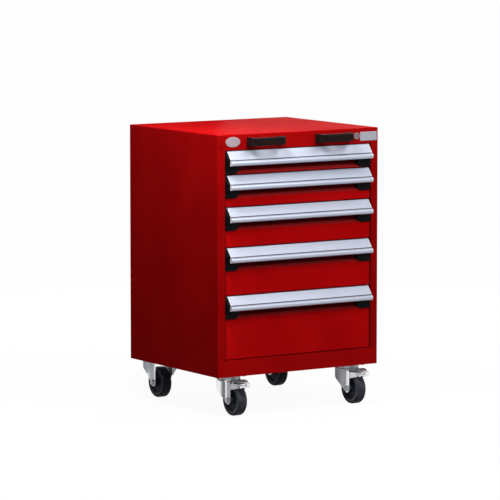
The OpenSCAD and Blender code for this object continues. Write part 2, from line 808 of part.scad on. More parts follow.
// Seen from the side: cheek, leg and the arm that carries the pedal
module fork_side() {
    axle = [-trail, axle_z];
    lug = [-pedal_pivot, pivot_z];
    back_z = disc_top_z - fork_back_h;
    top = disc_top_z;
    low = touch(axle, fork_end_r, [fork_back, back_z], -1);
    front = -trail - fork_end_r;
    polygon([[fork_back, top], [front + fork_t, top], [front - lug_r, pivot_z],
        lug + [lug_r / 2, 0], lug, lug + [-lug_r, 0], lug + [-lug_r / 2, arm_under_z + arm_rise - pivot_z],
        [front, arm_under_z - fork_t], [front, axle_z], axle, low, [fork_back, back_z]]);
    translate(axle) circle(fork_end_r);
    translate(lug) circle(lug_r);
}

// Seen from above: two cheeks with a round back, which come together to a narrow nose at the front
module fork_plan(half) {
    round_y = fork_back - cheek_out;
    nose = half - cheek_out + nose_half;
    translate([0, round_y]) circle(half);
    polygon([[-half, round_y], [-half, -bend_y], [-nose, -pedal_pivot], [-nose, -pedal_reach],
        [nose, -pedal_reach], [nose, -pedal_pivot], [half, -bend_y], [half, round_y]]);
}

module fork() color(zinc) {
    rib_z = [axle_z + fork_end_r, disc_top_z - disc_t];
    difference() {
        union() {
            intersection() {
                linear_extrude(disc_top_z) difference() {
                    fork_plan(cheek_out);
                    fork_plan(cheek_in);
                }
                along_x(-cheek_out, cheek_out) fork_side();
            }
            translate([0, 0, disc_top_z - disc_t]) {
                intersection() {
                    linear_extrude(disc_t) fork_plan(cheek_out);
                    block([-cheek_out, cheek_out], [fork_t - trail - fork_end_r, fork_back], [0, disc_t]);
                }
                cylinder(h = disc_t, d = head_d);
            }
            translate([0, 0, disc_top_z - cut])
                cylinder(h = cut + head_h / 2 + race_gap, r = head_d / 2 - race_wall - pass_gap);
            both_sides() intersection() {
                translate([cheek_in, rib_r - trail - fork_end_r, rib_z[0]])
                    cylinder(h = rib_z[1] - rib_z[0], r = rib_r);
                block([cheek_in, cheek_out + fork_t], [-pedal_reach, fork_back], [0, base_z]);
            }
        }
        cylinder(h = base_z, r = king_d / 2 + run_fit);
        translate([0, -trail, axle_z]) rod_x(-cheek_out - cut, cheek_out + cut, axle_d / 2 + hole_fit);
        translate([0, -pedal_pivot, pivot_z])
            rod_x(-nose_half - cut, nose_half + cut, pedal_pin_d / 2 + hole_fit);
    }
    translate([0, -pedal_pivot, pivot_z]) pedal_pin();
}

// The pedal's pivot pin with a rivet head on each side
module pedal_pin() {
    rod_x(-nose_half, nose_half, pedal_pin_d / 2);
    both_sides() rod_x(nose_half, nose_half + fork_t / 2, pedal_pin_d * 0.8);
}

// An axle bolt with head and nut outside the cheeks
module axle() color(zinc) {
    rod_x(-cheek_out - axle_hex_h, cheek_out + axle_hex_h, axle_d / 2);
    both_sides() rod_x(cheek_out, cheek_out + axle_hex_h, axle_hex_r, 6);
}

// A wheel's body with dished web, long boss and rim
module hub() color(plastic) rotate([0, 90, 0]) rotate_extrude() {
    bore = axle_d / 2 + run_fit;
    rim_in = rim_r - tyre_t / 2;
    side = [[bore, hub_half], [boss_r, hub_half], [boss_r + hub_slope, web_half],
        [rim_in - hub_slope, web_half], [rim_in, rim_half], [rim_r, rim_half]];
    polygon(concat(side, [for (n = [len(side) - 1:-1:0]) [side[n][0], -side[n][1]]]));
}

module tyre() color(rubber) rotate([0, 90, 0]) rotate_extrude() difference() {
    translate([axle_z / 2, 0]) round_rect(axle_z, wheel_w, tyre_r);
    translate([-cut, -wheel_w]) square([rim_r + run_fit + cut, 2 * wheel_w]);
}

// The pedal seen from the side, about its pivot: upper release tab and lower lock tab
module pedal_profile() {
    top = pedal_hub_r + 2 * pedal_t;
    upper = -pedal_len * 0.88;
    mouth = pedal_hub_r - pedal_t;
    circle(pedal_hub_r);
    polygon([[pedal_hub_r, 0], [pedal_hub_r, pedal_hub_r], [0, top], [upper / 4, top],
        [upper * 0.65, mouth + pedal_t], [upper, mouth], [upper, mouth - pedal_t / 2],
        [upper * 0.6, mouth], [upper / 4, mouth], [0, 0]]);
    polygon([[0, 0], [0, -pedal_hub_r], [upper / 4, -pedal_hub_r - pedal_t / 2],
        [upper * 0.8, -pedal_hub_r], [-pedal_len, -pedal_t], [-pedal_len, -pedal_t / 2],
        [upper * 0.8, -pedal_t], [upper / 4, -mouth]]);
}

// The pedal seen from above: it narrows to its tip
module pedal_plan() {
    neck = -pedal_len * 0.3;
    polygon([[-pedal_half, pedal_hub_r + cut], [-pedal_half, neck], [-pedal_tip, -pedal_len - cut],
        [pedal_tip, -pedal_len - cut], [pedal_half, neck], [pedal_half, pedal_hub_r + cut]]);
}

// The shoe points at the axle once the pedal is pressed, and then just meets the tyre
module shoe_profile() {
    to_axle = [pedal_pivot - trail, axle_z - pivot_z];
    reach = norm(to_axle) - wheel_d / 2 - 2 * pass_gap;
    rotate(atan2(to_axle[1], to_axle[0]) - pedal_angle)
        translate([0, -pedal_hub_r / 2]) square([reach, pedal_hub_r]);
}

module brake_pedal() color(zinc) translate([0, -pedal_pivot, pivot_z]) difference() {
    union() {
        intersection() {
            along_x(-pedal_half, pedal_half) pedal_profile();
            translate([0, 0, -2 * lug_r]) linear_extrude(4 * lug_r) pedal_plan();
        }
        along_x(-wheel_w / 8, wheel_w / 8) shoe_profile();
    }
    rod_x(-pedal_half - cut, pedal_half + cut, pedal_pin_d / 2 + run_fit);
}

module at_front_caster(side) in_frame() translate([side * wheel_x, swivel_y, 0]) children();
module at_front_axle(side) at_front_caster(side) translate([0, -trail, axle_z]) children();
module at_rear_caster(side) in_frame() translate([side * wheel_x, rear_axle_y, 0]) children();
module at_rear_axle(side) at_rear_caster(side) translate([0, 0, axle_z]) children();

// A rigid fork: each leg has one upright edge and one slanted edge with a flange, turned about
module rigid_leg() {
    axle = [0, axle_z];
    low = touch(axle, fork_end_r, [rigid_back, rigid_step_z], -1);
    weld_z = plate_under_z + cut;
    tip = -cheek_out - rigid_flange;
    mirror([1, 0, 0]) along_x(cheek_in, cheek_out) {
        polygon([[-fork_end_r, weld_z], [rigid_back, weld_z], [rigid_back, rigid_step_z],
            low, axle, [-fork_end_r, axle_z]]);
        translate(axle) circle(fork_end_r);
    }
    along_y(rigid_back - fork_t, rigid_back)
        polygon([[-cheek_in, weld_z], [tip, weld_z], [tip, rigid_step_z + rigid_rise],
            [-cheek_out, rigid_step_z - rigid_fold], [-cheek_in, rigid_step_z]]);
}

module rigid_fork() color(zinc) difference() {
    union() {
        caster_plate();
        rigid_leg();
        rotate(180) rigid_leg();
    }
    translate([0, 0, axle_z]) rod_x(-cheek_out - cut, cheek_out + cut, axle_d / 2 + hole_fit);
}

module rear_axles() {
    at_rear_axle(-1) axle();
    at_rear_axle(1) axle();
}

left_side_panel();
right_side_panel();
back_panel();
top_panel();
base_pan();
slide_uprights();
cabinet_rails();
left_pull_handle();
right_pull_handle();
pull_handle_screws();
lock_cylinder();
lock_plug();
lock_cam();
lock_bar();
for (i = [0:4]) {
    drawer = str("drawer_", i + 1, "_");
    drawer_tray(i);
    drawer_front(i);
    drawer_handle(i);
    drawer_end_caps(i);
    drawer_carriages(i);
}
front_caster_plates();
king_pins();
caster_bolts();
for (side = [-1, 1]) {
    name = side < 0 ? "left_" : "right_";
    at_front_caster(side) fork();
    at_front_axle(side) axle();
    at_front_axle(side) hub();
    at_front_axle(side) tyre();
    at_front_caster(side) brake_pedal();
    at_rear_caster(side) rigid_fork();
    at_rear_axle(side) hub();
    at_rear_axle(side) tyre();
}
rear_axles();
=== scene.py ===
"""Looks of the mobile drawer cabinet: finishes, softened edges, fasteners, plates and studio."""

import json
import math

import bmesh
import bpy
from mathutils import Matrix, Vector

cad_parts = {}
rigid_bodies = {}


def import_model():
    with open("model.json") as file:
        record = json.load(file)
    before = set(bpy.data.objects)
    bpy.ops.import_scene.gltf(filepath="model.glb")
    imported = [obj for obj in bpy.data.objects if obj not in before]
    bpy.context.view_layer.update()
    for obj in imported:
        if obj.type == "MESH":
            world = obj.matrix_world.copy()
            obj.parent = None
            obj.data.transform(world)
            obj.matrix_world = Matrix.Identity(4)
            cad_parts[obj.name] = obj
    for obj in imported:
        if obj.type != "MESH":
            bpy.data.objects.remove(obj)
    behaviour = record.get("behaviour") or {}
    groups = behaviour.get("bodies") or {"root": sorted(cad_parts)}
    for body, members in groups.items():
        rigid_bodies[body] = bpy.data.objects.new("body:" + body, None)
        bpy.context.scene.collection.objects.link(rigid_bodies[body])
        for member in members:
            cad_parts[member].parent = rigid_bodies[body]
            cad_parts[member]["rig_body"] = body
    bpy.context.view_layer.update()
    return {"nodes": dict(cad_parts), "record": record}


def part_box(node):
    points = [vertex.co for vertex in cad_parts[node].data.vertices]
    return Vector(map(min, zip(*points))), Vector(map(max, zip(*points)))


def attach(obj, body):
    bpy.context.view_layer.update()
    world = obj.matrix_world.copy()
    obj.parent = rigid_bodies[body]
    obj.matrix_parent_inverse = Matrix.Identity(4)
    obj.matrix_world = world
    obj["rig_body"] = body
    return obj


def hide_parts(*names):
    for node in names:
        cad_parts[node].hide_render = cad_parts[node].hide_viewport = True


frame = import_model()

DRAWERS = [f"drawer_{n}" for n in range(1, 6)]
WHEELS = [f"{end}_{side}" for end in ("front", "rear") for side in ("left", "right")]

# Camera: where the photograph was taken from
CAMERA_AZIMUTH = math.radians(-32.966)
CAMERA_ELEVATION = math.radians(6.479)
CAMERA_DISTANCE = 10.9296
CAMERA_TARGET = Vector((-0.1851, -0.2337, 0.5254))
CAMERA_LENS = 250.2
CAMERA_CLIP_END = 100.0

# Colours, linear
DEEP_RED = (0.39, 0.0026, 0.0035, 1.0)
CLEAR_RED = (0.45, 0.0036, 0.0040, 1.0)
# Drawer fronts: a paler copy of the red, painted light that makes up for the light the handles keep
# off them
LIT_FRONT_DEEP_RED = (0.60, 0.0030, 0.0046, 1.0)
LIT_FRONT_CLEAR_RED = (0.69, 0.0044, 0.0056, 1.0)
# Painted shade on the drawer fronts: in the finger recess, and a painted shadow along their sides
PAINTED_SHADE_RED = (0.135, 0.0075, 0.0078, 1.0)
# Painted reflection of the handle's underside on the lip below each handle
LIP_REFLECTION_RED = (0.62, 0.026, 0.026, 1.0)
# Base rail: a paler copy of the red, painted light on its front face
LIT_RAIL_DEEP_RED = (0.46, 0.0030, 0.0040, 1.0)
LIT_RAIL_CLEAR_RED = (0.53, 0.0042, 0.0046, 1.0)
DRAWER_GREY = (0.52, 0.54, 0.56, 1.0)
ANODISED_DARK = (0.465, 0.505, 0.61, 1.0)
ANODISED_LIGHT = (0.56, 0.60, 0.715, 1.0)
# Cut ends of the handles: bare metal, made matt and near white as a painted highlight
CUT_END_HIGHLIGHT = (0.92, 0.94, 0.98, 1.0)
# Painted shade in the groove between a handle's plate and bead
GROOVE_SHADE_GREY = (0.13, 0.14, 0.17, 1.0)
CAP_BLACK = (0.0035, 0.0038, 0.0048, 1.0)
GRIP_BLACK = (0.010, 0.0045, 0.0048, 1.0)
OXIDE_BLACK = (0.030, 0.022, 0.018, 1.0)
ZINC_DARK = (0.30, 0.31, 0.33, 1.0)
ZINC_LIGHT = (0.60, 0.62, 0.64, 1.0)
# Painted light on the forks and pedals: highlight, sheen, shade and deep shade of zinc
ZINC_HIGHLIGHT = (0.97, 0.98, 1.0, 1.0)
ZINC_SHEEN = (0.78, 0.80, 0.83, 1.0)
ZINC_PLAIN = (0.50, 0.51, 0.54, 1.0)
ZINC_SHADE = (0.22, 0.22, 0.23, 1.0)
ZINC_DEEP_SHADE = (0.020, 0.019, 0.020, 1.0)
PLATED = (0.27, 0.22, 0.235, 1.0)
TYRE_BLACK = (0.060, 0.063, 0.082, 1.0)
TYRE_WORN = (0.105, 0.110, 0.135, 1.0)
HUB_DARK = (0.045, 0.052, 0.072, 1.0)
# Painted highlight on the shoulder of each wheel's rim
HUB_RIM_HIGHLIGHT = (0.80, 0.81, 0.84, 1.0)
BADGE_PALE = (0.49, 0.395, 0.44, 1.0)
LABEL_GREY = (0.48, 0.48, 0.56, 1.0)
WHITE = (1.0, 1.0, 1.0, 1.0)


def shade(colour, factor):
    """A darker or paler form of a colour."""
    return tuple(factor * part for part in colour[:3]) + (1.0,)


# Shader sockets that can be written as expressions

class Wire:
    """A socket's value. Operators on it add Math nodes to its tree."""

    def __init__(self, nodes, socket):
        self.nodes = nodes
        self.socket = socket

    def math(self, operation, *values):
        return self.nodes.add("ShaderNodeMath", {"operation": operation}, dict(enumerate(values)))

    def __add__(self, other):
        return self.math("ADD", self, other)

    def __sub__(self, other):
        return self.math("SUBTRACT", self, other)

    def __rsub__(self, other):
        return self.math("SUBTRACT", other, self)

    def __mul__(self, other):
        return self.math("MULTIPLY", self, other)

    def between(self, low, high):
        """0 below low, 1 above high and a smooth step between them."""
        return self.nodes.add(
            "ShaderNodeMapRange", {"interpolation_type": "SMOOTHSTEP"},
            {"Value": self, "From Min": low, "From Max": high})

    __radd__ = __add__
    __rmul__ = __mul__


class Nodes:
    """A node tree that is written from its inputs to its output."""

    def __init__(self, tree):
        self.tree = tree
        tree.nodes.clear()

    def add(self, kind, settings=None, sockets=None, output=0):
        """Adds a node, sets its settings first, then its sockets, and gives one of its outputs."""
        node = self.tree.nodes.new(kind)
        for name, value in (settings or {}).items():
            setattr(node, name, value)
        for name, value in (sockets or {}).items():
            if isinstance(value, Wire):
                self.tree.links.new(value.socket, node.inputs[name])
            elif isinstance(value, list):
                for wire in value:
                    self.tree.links.new(wire.socket, node.inputs[name])
            else:
                node.inputs[name].default_value = value
        return Wire(self, node.outputs[output]) if len(node.outputs) else node

    def place(self, stretch=(1.0, 1.0, 1.0)):
        """Object coordinates, drawn out along an axis by a small factor there."""
        where = self.add("ShaderNodeTexCoord", output="Object")
        return self.add("ShaderNodeMapping", {}, {"Vector": where, "Scale": stretch})

    def along(self, axis):
        """How far a point lies along X, Y or Z."""
        return self.add("ShaderNodeSeparateXYZ", {}, {"Vector": self.place()}, axis)

    def noise(self, scale, detail=2.0, stretch=(1.0, 1.0, 1.0)):
        return self.add("ShaderNodeTexNoise", {},
                        {"Vector": self.place(stretch), "Scale": scale, "Detail": detail}, "Fac")

    def vector(self, operation, *values, output=0):
        return self.add("ShaderNodeVectorMath", {"operation": operation}, dict(enumerate(values)),
                        output)

    def blend(self, low, high, factor):
        """A colour between two colours."""
        sockets = {"Factor": factor, 6: low, 7: high}
        return self.add("ShaderNodeMix", {"data_type": "RGBA"}, sockets, 2)

    def bump(self, height, strength, distance):
        return self.add("ShaderNodeBump", {},
                        {"Height": height, "Strength": strength, "Distance": distance})

    def surface(self, **sockets):
        """The finished material: a Principled shader on the output."""
        named = {name.replace("_", " "): value for name, value in sockets.items()}
        shader = self.add("ShaderNodeBsdfPrincipled", {}, named)
        self.add("ShaderNodeOutputMaterial", {}, {"Surface": shader})


def new_finish(name):
    material = bpy.data.materials.new(name)
    material.use_nodes = True
    return material, Nodes(material.node_tree)


# Red powder coat: its clouds and gloss, and on a drawer front depths from the face and the sides,
# for painted shade, shadow and reflection
RED_CLOUDS = (0.3, 0.7)
EVEN_GLOSS = 0.004
CLOUD_GLOSS = 0.006
LIP_GLOSS = 0.5
RECESS_DEPTH = 0.010
COAT_EDGE = (0.0006, 0.0016)
RIM_WIDTH = 0.0036
RECESS_SHADE = 0.85
RIM_SHADE = 0.8


def red_powder_coat(name, deep, clear, front=None):
    """Smooth red powder coat: faint clouds in the colour and a fine orange peel.

    On a drawer front it has painted shade in the recess, a painted shadow along the sides, a
    painted reflection on the lip, and a glossier coat there."""
    material, nodes = new_finish(name)
    clouds = nodes.noise(scale=7.0, detail=3.0)
    peel = nodes.noise(scale=620.0, detail=1.0)
    colour = nodes.blend(deep, clear, clouds.between(*RED_CLOUDS))
    gloss = EVEN_GLOSS + CLOUD_GLOSS * clouds
    if front:
        low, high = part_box(front)
        inward, across = nodes.along("Y") - low.y, nodes.along("X")
        in_recess = inward.between(RECESS_DEPTH - COAT_EDGE[1], RECESS_DEPTH - COAT_EDGE[0])
        on_lip = inward.between(*COAT_EDGE) * (1 - in_recess)
        from_left = across.between(low.x, low.x + RIM_WIDTH)
        to_right = 1 - across.between(high.x - RIM_WIDTH, high.x)
        # Painted shadow along the front's sides, cast by the posts
        colour = nodes.blend(colour, PAINTED_SHADE_RED, RIM_SHADE * (1 - from_left * to_right))
        # Painted reflection on the lip: the handle's underside seen in it
        colour = nodes.blend(colour, LIP_REFLECTION_RED, on_lip)
        # Painted shade in the finger recess
        colour = nodes.blend(colour, PAINTED_SHADE_RED, RECESS_SHADE * in_recess)
        gloss = gloss + LIP_GLOSS * on_lip
    nodes.surface(
        Base_Color=colour,
        Roughness=0.36 + 0.14 * nodes.noise(scale=34.0),
        Specular_IOR_Level=0.0,
        Coat_Weight=gloss,
        Coat_Roughness=0.2,
        Normal=nodes.bump(peel, strength=0.10, distance=0.0003))
    return material


def grey_powder_coat():
    """Light grey coat of the trays, with fine grain."""
    material, nodes = new_finish("grey_powder_coat")
    grain = nodes.noise(scale=900.0)
    nodes.surface(
        Base_Color=nodes.blend(shade(DRAWER_GREY, 0.9), DRAWER_GREY, nodes.noise(scale=9.0)),
        Roughness=0.45 + 0.15 * grain,
        Specular_IOR_Level=0.3,
        Normal=nodes.bump(grain, strength=0.12, distance=0.0003))
    return material


# Handles: the groove below the plate, counted from the top, where shade is painted, and the cut
# ends, where a highlight is painted
GROOVE_TOP = 0.0258
GROOVE_HEIGHT = 0.0032
GROOVE_EDGE = 0.0006
END_WIDTH = 0.0030
HANDLE_METAL = 0.55


def anodised_aluminium(handle):
    """Satin extrusion: long fine draw lines along X, painted shade in the groove, and cut ends of
    bare metal made matt and near white as a painted highlight.
    """
    material, nodes = new_finish(handle + "_aluminium")
    low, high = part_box(handle)
    lines = nodes.noise(scale=420.0, detail=3.0, stretch=(0.012, 1.0, 1.0))
    clouds = nodes.noise(scale=16.0, stretch=(0.25, 1.0, 1.0))
    below, across = high.z - nodes.along("Z"), nodes.along("X")
    groove_end = GROOVE_TOP + GROOVE_HEIGHT
    under_plate = below.between(GROOVE_TOP, GROOVE_TOP + GROOVE_EDGE)
    over_bead = 1 - below.between(groove_end - GROOVE_EDGE, groove_end)
    at_left = 1 - across.between(low.x, low.x + END_WIDTH)
    at_end = at_left + across.between(high.x - END_WIDTH, high.x)
    colour = nodes.blend(ANODISED_DARK, ANODISED_LIGHT, 0.35 * lines + 0.65 * clouds)
    # Cut ends: bare metal, matt and near white, a painted highlight
    colour = nodes.blend(colour, CUT_END_HIGHLIGHT, at_end)
    nodes.surface(
        # Painted shade in the groove between the plate and the bead
        Base_Color=nodes.blend(colour, GROOVE_SHADE_GREY, under_plate * over_bead),
        Metallic=HANDLE_METAL - HANDLE_METAL * at_end,
        Roughness=0.30 + 0.16 * lines,
        Normal=nodes.bump(lines, strength=0.06, distance=0.0002))
    return material


PATCHES = (0.35, 0.75)


def black_plastic(name, colour, grain_scale):
    """Moulded plastic with a fine eroded texture."""
    material, nodes = new_finish(name)
    grain = nodes.noise(grain_scale)
    patches = nodes.noise(scale=24.0).between(*PATCHES)
    nodes.surface(
        Base_Color=nodes.blend(colour, shade(colour, 1.7), patches),
        Roughness=0.46 + 0.20 * grain,
        Specular_IOR_Level=0.06,
        Normal=nodes.bump(grain, strength=0.16, distance=0.0003))
    return material


# Zinc: each tone is a colour and how metallic it is, each stop a distance and a tone; the tones are
# painted highlights, reflections and shade
ZINC_METAL = 0.6
ZINC_CLOUDS = (0.3, 0.72)
CLOUD_SHARE = 0.3
BRIGHT_LIT = (ZINC_HIGHLIGHT, 0.95)
SHEEN_LIT = (ZINC_SHEEN, 0.7)
PLAIN = (ZINC_PLAIN, 0.6)
IN_SHADE = (ZINC_SHADE, 0.5)
SOFT_LIT = (ZINC_SHEEN, 0.15)
DEEP_SHADE = (ZINC_DEEP_SHADE, 0.0)
# Stops along each fork and pedal that paint highlights, reflections and shade
LEFT_FORK_STOPS = [
    (-0.049, PLAIN), (-0.031, PLAIN), (-0.028, BRIGHT_LIT), (-0.023, BRIGHT_LIT), (-0.019, IN_SHADE),
    (-0.010, IN_SHADE), (0.012, BRIGHT_LIT)]
RIGHT_FORK_STOPS = [
    (-0.052, SHEEN_LIT), (-0.049, BRIGHT_LIT), (-0.035, BRIGHT_LIT), (-0.032, PLAIN), (-0.012, PLAIN),
    (0.024, IN_SHADE)]
REAR_FORK_STOPS = [
    (-0.016, PLAIN), (-0.014, BRIGHT_LIT), (-0.010, BRIGHT_LIT), (-0.007, PLAIN), (0.016, PLAIN),
    (0.025, SHEEN_LIT)]
PEDAL_STOPS = [
    (-0.0142, BRIGHT_LIT), (-0.0126, DEEP_SHADE), (-0.0092, DEEP_SHADE), (-0.0080, SOFT_LIT), (-0.0056, SOFT_LIT),
    (-0.0044, DEEP_SHADE)]

# Front forks: from the pedal's tip to the swivel, and the head that carries the pedal, where shade
# is painted
PEDAL_REACH = 0.124
HEAD_DEPTH = 0.0130
HEAD_LEAD = 0.050
TONE_EDGE = 0.0015


def bright_zinc(name, tones=None):
    """Zinc-plated pressed steel: cloudy brightness, faint press marks, and, if given, tones that
    paint highlights, reflections and shade.
    """
    material, nodes = new_finish(name)
    clouds = nodes.noise(scale=26.0, detail=4.0)
    marks = nodes.noise(scale=240.0)
    colour = nodes.blend(ZINC_DARK, ZINC_LIGHT, clouds.between(*ZINC_CLOUDS))
    metal = ZINC_METAL
    if tones:
        # The tones paint highlights and shade over the clouds
        toned, metal = tones(nodes)
        colour = nodes.blend(toned, colour, CLOUD_SHARE * clouds)
    nodes.surface(
        Base_Color=colour,
        Metallic=metal,
        Roughness=0.26 + 0.22 * clouds,
        Specular_IOR_Level=0.3,
        Normal=nodes.bump(marks, strength=0.07, distance=0.0004))
    return material


def tone_ramp(nodes, axis, origin, stops):
    """Colour and metal that pass from stop to stop along an axis, counted from the origin."""
    along = nodes.along(axis)
    place, (colour, metal) = stops[0]
    for end, (next_colour, next_metal) in stops[1:]:
        share = along.between(origin + place, origin + end)
        colour = nodes.blend(colour, next_colour, share)
        metal = metal + (next_metal - metal) * share
        place = end
    return colour, metal


def fork_tones(stops):
    """Painted highlights, reflections and shade of a front fork along Y from its swivel, and
    painted shade on its head.
    """
    head_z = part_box("front_left_fork")[1].z - HEAD_DEPTH
    swivel_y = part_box("front_left_brake_pedal")[0].y + PEDAL_REACH
    head_y = swivel_y - HEAD_LEAD

    def tones(nodes):
        colour, metal = tone_ramp(nodes, "Y", swivel_y, stops)
        # Painted shade on the head, in front of the swivel
        ahead = 1 - nodes.along("Y").between(head_y, head_y + TONE_EDGE)
        greased = ahead * nodes.along("Z").between(head_z, head_z + TONE_EDGE)
        return nodes.blend(colour, ZINC_DEEP_SHADE, greased), metal * (1 - greased)
    return tones


def rear_fork_tones(nodes):
    """Painted light on the rear forks along Y from their axles: a painted highlight in front and a
    painted sheen behind.
    """
    low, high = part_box("rear_axles")
    return tone_ramp(nodes, "Y", (low.y + high.y) / 2, REAR_FORK_STOPS)


def pedal_tones(nodes):
    """Painted light on a pedal: a painted highlight on the tongue below, and on the tab painted
    shade at its edges above and below a painted highlight on its back.
    """
    return tone_ramp(nodes, "Z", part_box("front_left_brake_pedal")[1].z, PEDAL_STOPS)


def black_oxide():
    """Blackened screws with worn, browner edges."""
    material, nodes = new_finish("black_oxide")
    wear = nodes.noise(scale=700.0, detail=3.0)
    nodes.surface(
        Base_Color=nodes.blend(shade(OXIDE_BLACK, 0.5), OXIDE_BLACK, wear),
        Metallic=0.6,
        Roughness=0.35 + 0.2 * wear,
        Specular_IOR_Level=0.3)
    return material


def plated_lock():
    """Nickel plating of the lock, with turning marks."""
    material, nodes = new_finish("plated_lock")
    marks = nodes.noise(scale=900.0)
    nodes.surface(
        Base_Color=nodes.blend(shade(PLATED, 0.8), PLATED, marks),
        Metallic=1.0,
        Roughness=0.18 + 0.14 * marks)
    return material


def tyre_rubber():
    """Elastic rubber: dark blue-grey, worn a little paler in patches."""
    material, nodes = new_finish("tyre_rubber")
    wear = nodes.noise(scale=45.0, detail=4.0)
    grain = nodes.noise(scale=1300.0)
    nodes.surface(
        Base_Color=nodes.blend(TYRE_BLACK, TYRE_WORN, wear.between(*PATCHES)),
        Roughness=0.45 + 0.2 * grain,
        Specular_IOR_Level=0.05,
        Normal=nodes.bump(grain, strength=0.18, distance=0.0003))
    return material


HUB_HIGHLIGHT_WIDTH = 0.0036


def wheel_nylon(name, centre, highlight_radius):
    """Dark wheel body with a painted highlight: a paler line round its rim."""
    material, nodes = new_finish(name)
    where = nodes.add("ShaderNodeTexCoord", output="Object")
    across_axle = nodes.vector("MULTIPLY", nodes.vector("SUBTRACT", where, centre), (0.0, 1.0, 1.0))
    radius = nodes.vector("LENGTH", across_axle, output="Value")
    on_highlight = radius.between(highlight_radius - HUB_HIGHLIGHT_WIDTH, highlight_radius)
    mottle = nodes.noise(scale=160.0, detail=3.0)
    nodes.surface(
        # Painted highlight round the rim, broken up by noise
        Base_Color=nodes.blend(HUB_DARK, HUB_RIM_HIGHLIGHT, on_highlight * (0.55 + 0.45 * mottle)),
        Roughness=0.45 + 0.2 * mottle,
        Specular_IOR_Level=0.06)
    return material


def bare_plate(name, colour):
    """Plain satin plate, a little uneven."""
    material, nodes = new_finish(name)
    haze = nodes.noise(scale=120.0, detail=3.0)
    nodes.surface(
        Base_Color=nodes.blend(shade(colour, 0.86), colour, haze),
        Roughness=0.34 + 0.18 * haze,
        Specular_IOR_Level=0.4,
        Metallic=0.25)
    return material


RED = red_powder_coat("red_powder_coat", DEEP_RED, CLEAR_RED)
# The base rail wears a paler, lit copy of the red: painted light
LIT_RAIL_RED = red_powder_coat("lit_rail_powder_coat", LIT_RAIL_DEEP_RED, LIT_RAIL_CLEAR_RED)
# The drawer fronts wear a paler, lit copy of the red: painted light
LIT_FRONT_RED = red_powder_coat("lit_front_powder_coat", LIT_FRONT_DEEP_RED, LIT_FRONT_CLEAR_RED, "drawer_1_front")
GREY = grey_powder_coat()
CAPS = black_plastic("end_cap_plastic", CAP_BLACK, grain_scale=1100.0)
GRIPS = black_plastic("grip_plastic", GRIP_BLACK, grain_scale=800.0)
ZINC = bright_zinc("bright_zinc")
LEFT_FORK_ZINC = bright_zinc("left_fork_zinc", fork_tones(LEFT_FORK_STOPS))
RIGHT_FORK_ZINC = bright_zinc("right_fork_zinc", fork_tones(RIGHT_FORK_STOPS))
REAR_FORK_ZINC = bright_zinc("rear_fork_zinc", rear_fork_tones)
PEDAL_ZINC = bright_zinc("pedal_zinc", pedal_tones)
BLACK_OXIDE = black_oxide()
LOCK = plated_lock()
RUBBER = tyre_rubber()
BADGE = bare_plate("badge_plate", BADGE_PALE)
LABEL = bare_plate("label_plate", LABEL_GREY)


# Pieces

def body_of(node):
    return frame["nodes"][node]["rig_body"]


def slot_of(node):
    return next(s["material_slot"] for s in frame["record"]["subparts"] if s["node"] == node)


def new_object(name, data):
    made = bpy.data.objects.new(name, data)
    bpy.context.scene.collection.objects.link(made)
    return made


def new_piece(name, mesh, material, body, slot):
    """A finished piece in the shared frame, riding on its body."""
    piece = new_object(name, mesh)
    mesh.materials.clear()
    mesh.materials.append(material)
    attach(piece, body)
    return piece


def evaluated_mesh(piece):
    """The mesh that a piece's modifiers give. The piece itself goes."""
    bpy.context.view_layer.update()
    finished = piece.evaluated_get(bpy.context.evaluated_depsgraph_get())
    mesh = bpy.data.meshes.new_from_object(finished)
    bpy.data.objects.remove(piece)
    return mesh


SHARP = math.radians(28)
FLAT = math.radians(0.4)
WELD = 1e-6
EDGE_SEGMENTS = 2


def dressed(node, material, edge):
    """The CAD node with softened edges and smooth curves, in its place."""
    mesh = frame["nodes"][node].data.copy()
    bm = bmesh.new()
    bm.from_mesh(mesh)
    bmesh.ops.remove_doubles(bm, verts=bm.verts, dist=WELD)
    bmesh.ops.dissolve_limit(bm, angle_limit=FLAT, verts=bm.verts, edges=bm.edges)
    for face in bm.faces:
        face.smooth = True
    bm.to_mesh(mesh)
    bm.free()
    mesh.set_sharp_from_angle(angle=SHARP)
    rough = new_object(node + "_rough", mesh)
    bevel = rough.modifiers.new("softened", "BEVEL")
    bevel.width = edge
    bevel.segments = EDGE_SEGMENTS
    bevel.limit_method = "ANGLE"
    bevel.angle_limit = SHARP
    bevel.harden_normals = True
    soft = evaluated_mesh(rough)
    piece = new_piece(node + "_dressed", soft, material, body_of(node), slot_of(node))
    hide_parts(node)


# Widths of the softened edges
THIN_EDGE = 0.0003
SHEET_EDGE = 0.0004
TURNED_EDGE = 0.0006
PRESSED_EDGE = 0.0007
MOULDED_EDGE = 0.0008
GRIP_EDGE = 0.0012


